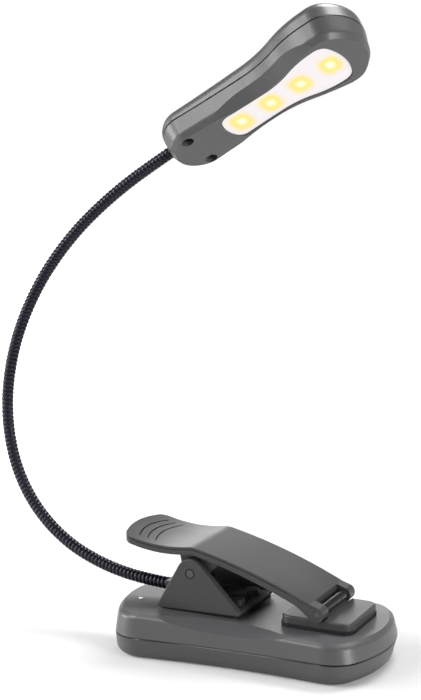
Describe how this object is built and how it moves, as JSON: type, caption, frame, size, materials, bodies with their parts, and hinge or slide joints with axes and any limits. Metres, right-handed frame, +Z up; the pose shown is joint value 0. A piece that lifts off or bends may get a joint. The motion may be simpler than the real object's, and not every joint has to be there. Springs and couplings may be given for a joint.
{
  "type": "clip-on reading lamp",
  "caption": "Clip-on reading lamp: flat waisted base with a sprung lever clip, a ribbed flexible neck and a slim flared head with an LED strip under a lens.",
  "frame": {"origin": "middle of the base underside, on the surface the lamp stands on", "axes": "+X towards the pressing foot of the clip, +Z up, -Y the side seen in the picture"},
  "size_m": [0.1632, 0.0831, 0.2294],
  "materials": {
    "charcoal_shell": "satin",
    "charcoal_clip": "satin",
    "black_rubber": "matt",
    "steel": "satin",
    "black_neck": "gloss",
    "lead_insulation": "matt",
    "cell_wrap": "satin",
    "circuit_board": "satin",
    "clear_lens": "gloss",
    "led_package": "gloss",
    "button_rubber": "satin"
  },
  "bodies": {
    "base": {"base_bottom_cover": "charcoal_shell", "base_top_shell": "charcoal_shell", "base_screws": "steel", "battery": "cell_wrap", "charge_board": "circuit_board", "charging_socket": "steel", "indicator_light_pipe": "clear_lens", "battery_leads": "lead_insulation", "clip_bracket": "charcoal_clip", "bracket_gasket": "black_rubber", "bracket_screws": "steel", "lever_pin": "steel", "clip_spring": "steel", "base_ferrule": "steel", "base_neck_leads": "lead_insulation", "neck_length_1": "black_neck", "neck_leads_1": "lead_insulation"},
    "lever": {"clip_lever": "charcoal_clip", "foot_pin": "steel"},
    "foot": {"clamp_foot": "charcoal_clip", "foot_pad": "black_rubber"},
    "neck_2": {"neck_length_2": "black_neck", "neck_leads_2": "lead_insulation"},
    "neck_3": {"neck_length_3": "black_neck", "neck_leads_3": "lead_insulation"},
    "neck_4": {"neck_length_4": "black_neck", "neck_leads_4": "lead_insulation"},
    "neck_5": {"neck_length_5": "black_neck", "neck_leads_5": "lead_insulation"},
    "neck_6": {"neck_length_6": "black_neck", "neck_leads_6": "lead_insulation"},
    "neck_7": {"neck_length_7": "black_neck", "neck_leads_7": "lead_insulation"},
    "neck_8": {"neck_length_8": "black_neck", "neck_leads_8": "lead_insulation"},
    "neck_9": {"neck_length_9": "black_neck", "neck_leads_9": "lead_insulation"},
    "head": {"neck_length_10": "black_neck", "neck_leads_10": "lead_insulation", "head_led_shell": "charcoal_shell", "head_back_cover": "charcoal_shell", "head_screws": "steel", "head_lens": "clear_lens", "led_board": "circuit_board", "leds": "led_package", "push_switch": "circuit_board", "head_ferrule": "steel", "head_leads": "lead_insulation"},
    "button": {"power_button": "button_rubber"}
  },
  "joints": [
    {"name": "neck_sway_1", "type": "hinge", "parent": "base", "child": "neck_2", "pos_m": [-0.04565, 0.00026, 0.02192], "axis": [0.1045, 0.1898, 0.9763], "range_deg": [-25, 25]},
    {"name": "neck_bend_2", "type": "hinge", "parent": "neck_2", "child": "neck_3", "pos_m": [-0.07051, 0.00144, 0.028], "axis": [0, 0.9816, -0.1908], "range_deg": [-22, 12]},
    {"name": "neck_bend_3", "type": "hinge", "parent": "neck_3", "child": "neck_4", "pos_m": [-0.0918, 0.00413, 0.04183], "axis": [0, 0.9816, -0.1908], "range_deg": [-22, 12]},
    {"name": "neck_sway_4", "type": "hinge", "parent": "neck_4", "child": "neck_5", "pos_m": [-0.1055, 0.00823, 0.06294], "axis": [0.9397, 0.0653, 0.3357], "range_deg": [-25, 25]},
    {"name": "neck_bend_5", "type": "hinge", "parent": "neck_5", "child": "neck_6", "pos_m": [-0.10971, 0.01304, 0.08768], "axis": [0, 0.9816, -0.1908], "range_deg": [-22, 12]},
    {"name": "neck_bend_6", "type": "hinge", "parent": "neck_6", "child": "neck_7", "pos_m": [-0.10527, 0.01785, 0.11243], "axis": [0, 0.9816, -0.1908], "range_deg": [-22, 12]},
    {"name": "neck_sway_7", "type": "hinge", "parent": "neck_7", "child": "neck_8", "pos_m": [-0.09383, 0.02223, 0.13494], "axis": [0.829, -0.1067, -0.5489], "range_deg": [-25, 25]},
    {"name": "neck_bend_8", "type": "hinge", "parent": "neck_8", "child": "neck_9", "pos_m": [-0.07718, 0.02595, 0.15408], "axis": [0, 0.9816, -0.1908], "range_deg": [-22, 12]},
    {"name": "neck_bend_9", "type": "hinge", "parent": "neck_9", "child": "head", "pos_m": [-0.05709, 0.029, 0.16977], "axis": [0, 0.9816, -0.1908], "range_deg": [-22, 12]},
    {"name": "lever_open", "type": "hinge", "parent": "base", "child": "lever", "pos_m": [-0.0181, 0, 0.03085], "axis": [0, -1, 0], "range_deg": [0, 18], "stiffness_Nm_per_rad": 0.6, "springref_deg": -25.78, "deforming": ["clip_spring"]},
    {"name": "foot_level", "type": "hinge", "parent": "lever", "child": "foot", "pos_m": [0.0298, 0, 0.0213], "axis": [0, -1, 0], "range_deg": [-18, 0]},
    {"name": "button_press", "type": "slide", "parent": "head", "child": "button", "axis": [0.4997, -0.3962, -0.7703], "range_m": [0, 0.0008], "stiffness_N_per_m": 1500, "springref_m": -0.0005}
  ],
  "couplings": [
    {"joint": "foot_level", "follows": "lever_open", "ratio": -1}
  ]
}
